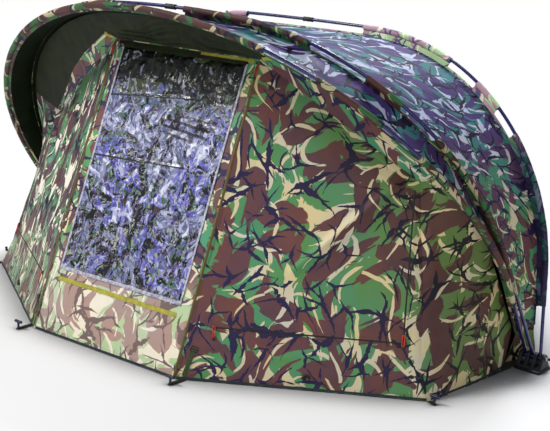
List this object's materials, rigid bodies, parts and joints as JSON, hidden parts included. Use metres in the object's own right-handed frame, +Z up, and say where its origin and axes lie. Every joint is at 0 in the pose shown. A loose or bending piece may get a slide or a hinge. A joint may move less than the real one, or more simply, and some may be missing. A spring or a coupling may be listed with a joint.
{
  "type": "bivvy tent",
  "caption": "Pram-hood bivvy tent: bent ribs folding on ground hubs under a camouflage canopy, with a zipped, windowed door, side flaps, pegs and a groundsheet.",
  "frame": {"origin": "on the ground, midway between the two hubs, on the underside of the groundsheet", "axes": "+Z up, front and door towards -Y, hubs and rib pivots along X"},
  "size_m": [3.136, 2.6137, 1.551],
  "materials": {
    "canopy_cloth": "coated woven cloth, camouflage print",
    "wall_cloth": "coated woven cloth, camouflage print",
    "sleeve_cloth": "coated woven cloth, camouflage print",
    "lining": "dark green cloth",
    "pole": "gloss navy",
    "moulding": "black moulded nylon",
    "bolt": "plain steel",
    "zip": "olive zip tape with a moulded coil",
    "tape": "olive webbing tape",
    "pull": "red moulded pull on a slider",
    "peg": "navy coated steel",
    "webbing": "black webbing",
    "window": "clear flexible sheet",
    "net": "dark fine net",
    "groundsheet": "heavy coated cloth"
  },
  "bodies": {
    "root": {"groundsheet": "groundsheet", "hub_left": "moulding", "hub_right": "moulding", "pivot_bolt_left": "bolt", "pivot_bolt_right": "bolt", "peg_door_left": "peg", "peg_door_right": "peg", "peg_corner_left": "peg", "peg_corner_right": "peg", "peg_rear_left": "peg", "peg_rear_right": "peg", "peg_hub_left": "peg", "peg_hub_right": "peg", "peg_loop_door_left": "webbing", "peg_loop_door_right": "webbing", "peg_loop_corner_left": "webbing", "peg_loop_corner_right": "webbing", "peg_loop_rear_left": "webbing", "peg_loop_rear_right": "webbing"},
    "rear_rib": {"rear_pole_left": "pole", "rear_pole_right": "pole", "rear_crown_joint": "moulding", "rear_sleeve": "sleeve_cloth", "rear_wall": "canopy_cloth"},
    "mid_rib": {"mid_pole_left": "pole", "mid_pole_right": "pole", "mid_crown_joint": "moulding", "mid_sleeve": "sleeve_cloth", "roof_canopy": "canopy_cloth", "header_panel": "lining", "side_panel_left": "wall_cloth", "side_panel_right": "wall_cloth", "wing_left": "wall_cloth", "wing_right": "wall_cloth", "door_strap_left": "webbing", "door_strap_right": "webbing"},
    "front_rib": {"front_pole_left": "pole", "front_pole_right": "pole", "front_crown_joint": "moulding", "front_sleeve": "sleeve_cloth", "hood_canopy": "canopy_cloth"},
    "door": {"door_panel": "wall_cloth", "door_net": "net", "window_cover": "window", "door_tape": "tape", "door_zip_left": "zip", "door_zip_right": "zip"},
    "left_door_slider": {"door_slider_left": "pull"},
    "left_flap": {"flap_left": "wall_cloth", "flap_zip_upright_left": "zip", "flap_zip_level_left": "zip"},
    "left_upright_slider": {"flap_slider_upright_left": "pull"},
    "left_level_slider": {"flap_slider_level_left": "pull"},
    "right_door_slider": {"door_slider_right": "pull"},
    "right_flap": {"flap_right": "wall_cloth", "flap_zip_upright_right": "zip", "flap_zip_level_right": "zip"},
    "right_upright_slider": {"flap_slider_upright_right": "pull"},
    "right_level_slider": {"flap_slider_level_right": "pull"}
  },
  "joints": [
    {"name": "rear_fold", "type": "hinge", "parent": "root", "child": "rear_rib", "pos_m": [0, 0, 0.06], "axis": [-1, 0, 0], "range_deg": [0, 76.4], "deforming": ["rear_wall"]},
    {"name": "mid_fold", "type": "hinge", "parent": "rear_rib", "child": "mid_rib", "pos_m": [0, 0, 0.06], "axis": [-1, 0, 0], "range_deg": [0, 32.8], "deforming": ["roof_canopy"]},
    {"name": "front_fold", "type": "hinge", "parent": "mid_rib", "child": "front_rib", "pos_m": [0, 0, 0.06], "axis": [-1, 0, 0], "range_deg": [0, 2.4], "deforming": ["hood_canopy"]},
    {"name": "door_lift", "type": "hinge", "parent": "mid_rib", "child": "door", "pos_m": [0, -0.81763, 1.34541], "axis": [-1, 0, 0], "range_deg": [0, 65]},
    {"name": "right_flap_open", "type": "hinge", "parent": "mid_rib", "child": "right_flap", "pos_m": [0.52462, -1.16934, 0.22478], "axis": [0.0084, -0.3407, -0.9401], "range_deg": [0, 75]},
    {"name": "right_door_zip", "type": "slide", "parent": "door", "child": "right_door_slider", "axis": [0.0084, -0.3407, -0.9401], "range_m": [0, 1.31]},
    {"name": "right_upright_zip", "type": "slide", "parent": "right_flap", "child": "right_upright_slider", "axis": [-0.16, 0.2488, 0.9552], "range_m": [0, 0.6]},
    {"name": "right_level_zip", "type": "slide", "parent": "right_flap", "child": "right_level_slider", "axis": [0.8411, 0.5409, 0], "range_m": [0, 0.73]},
    {"name": "left_flap_open", "type": "hinge", "parent": "mid_rib", "child": "left_flap", "pos_m": [-0.52462, -1.16934, 0.22478], "axis": [0.0084, 0.3407, 0.9401], "range_deg": [0, 75]},
    {"name": "left_door_zip", "type": "slide", "parent": "door", "child": "left_door_slider", "axis": [-0.0084, -0.3407, -0.9401], "range_m": [0, 1.31]},
    {"name": "left_upright_zip", "type": "slide", "parent": "left_flap", "child": "left_upright_slider", "axis": [0.16, 0.2488, 0.9552], "range_m": [0, 0.6]},
    {"name": "left_level_zip", "type": "slide", "parent": "left_flap", "child": "left_level_slider", "axis": [-0.8411, 0.5409, 0], "range_m": [0, 0.73]}
  ],
  "couplings": [
    {"joint": "mid_fold", "follows": "rear_fold", "ratio": 0.428},
    {"joint": "front_fold", "follows": "rear_fold", "ratio": 0.03128}
  ]
}
